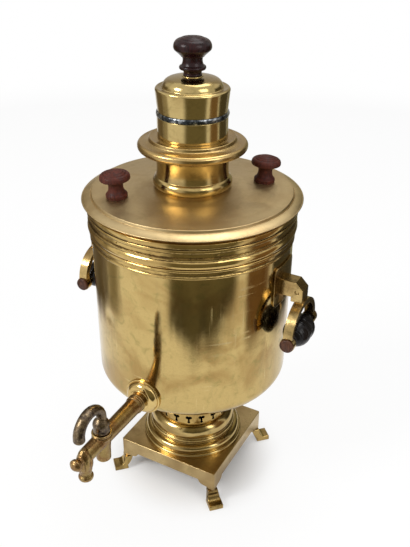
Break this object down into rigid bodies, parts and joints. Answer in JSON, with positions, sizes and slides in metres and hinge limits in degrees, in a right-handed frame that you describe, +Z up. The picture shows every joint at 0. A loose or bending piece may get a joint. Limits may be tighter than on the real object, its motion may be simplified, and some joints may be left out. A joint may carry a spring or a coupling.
{
  "type": "samovar",
  "caption": "Jar-shaped charcoal samovar on a square footed plinth, with a flat lid and two knobs, a crown, a knobbed cap, two bow handles with turned grips and a long tap with a hooked key.",
  "frame": {"origin": "on the floor under the axis of the round body", "axes": "+Z up, -Y towards the tap, +X and -X towards the two handles"},
  "size_m": [0.2848, 0.3396, 0.5127],
  "materials": {
    "brass": "polished, aged",
    "tap_bronze": "cast, darkened",
    "tinned_steel": "tinned, dull",
    "steel": "plain",
    "cast_iron": "rough",
    "red_wood": "stained, matte",
    "mahogany": "glossy lacquer",
    "black_wood": "glossy black lacquer"
  },
  "bodies": {
    "base": {"plinth": "brass", "foot_front_left": "brass", "foot_front_right": "brass", "foot_back_right": "brass", "foot_back_left": "brass", "pedestal": "brass", "air_neck": "brass", "body_shell": "brass", "beaded_band": "brass", "cornice": "brass", "rivet_1": "brass", "rivet_2": "brass", "rivet_3": "brass", "rivet_4": "brass", "rivet_5": "brass", "rivet_6": "brass", "fire_tube": "tinned_steel", "grate": "cast_iron", "tap_rose": "brass", "tap_body": "tap_bronze", "handle_plate_right": "brass", "handle_elbow_right": "brass", "handle_bow_right": "brass", "grip_rod_right": "steel", "grip_button_near_right": "red_wood", "grip_button_far_right": "red_wood", "handle_plate_left": "brass", "handle_elbow_left": "brass", "handle_bow_left": "brass", "grip_rod_left": "steel", "grip_button_near_left": "red_wood", "grip_button_far_left": "red_wood"},
    "key": {"tap_key": "tap_bronze"},
    "lid": {"lid_plate": "brass", "lid_neck": "brass", "lid_knob_near": "red_wood", "lid_knob_far": "red_wood", "lid_knob_stud_near": "steel", "lid_knob_stud_far": "steel", "lid_knob_nut_near": "steel", "lid_knob_nut_far": "steel"},
    "crown": {"crown_flange": "brass", "crown_collar": "brass"},
    "cap": {"cap_liner": "tinned_steel", "cap_shell": "brass", "cap_knob": "mahogany", "cap_knob_stud": "steel", "cap_knob_nut": "steel"},
    "grip_right": {"grip_right": "black_wood"},
    "grip_left": {"grip_left": "black_wood"}
  },
  "joints": [
    {"name": "key_turn", "type": "hinge", "parent": "base", "child": "key", "pos_m": [0, -0.1796, 0.1655], "axis": [0, 0, 1], "range_deg": [0, 90]},
    {"name": "lid_lift", "type": "slide", "parent": "base", "child": "lid", "axis": [0, 0, 1], "range_m": [0, 0.07]},
    {"name": "crown_lift", "type": "slide", "parent": "lid", "child": "crown", "axis": [0, 0, 1], "range_m": [0, 0.05]},
    {"name": "cap_lift", "type": "slide", "parent": "crown", "child": "cap", "axis": [0, 0, 1], "range_m": [0, 0.04]},
    {"name": "grip_turn_right", "type": "hinge", "parent": "base", "child": "grip_right", "pos_m": [0.1275, 0, 0.228], "axis": [0, 1, 0], "continuous": true},
    {"name": "grip_turn_left", "type": "hinge", "parent": "base", "child": "grip_left", "pos_m": [-0.1275, 0, 0.228], "axis": [0, 1, 0], "continuous": true}
  ]
}
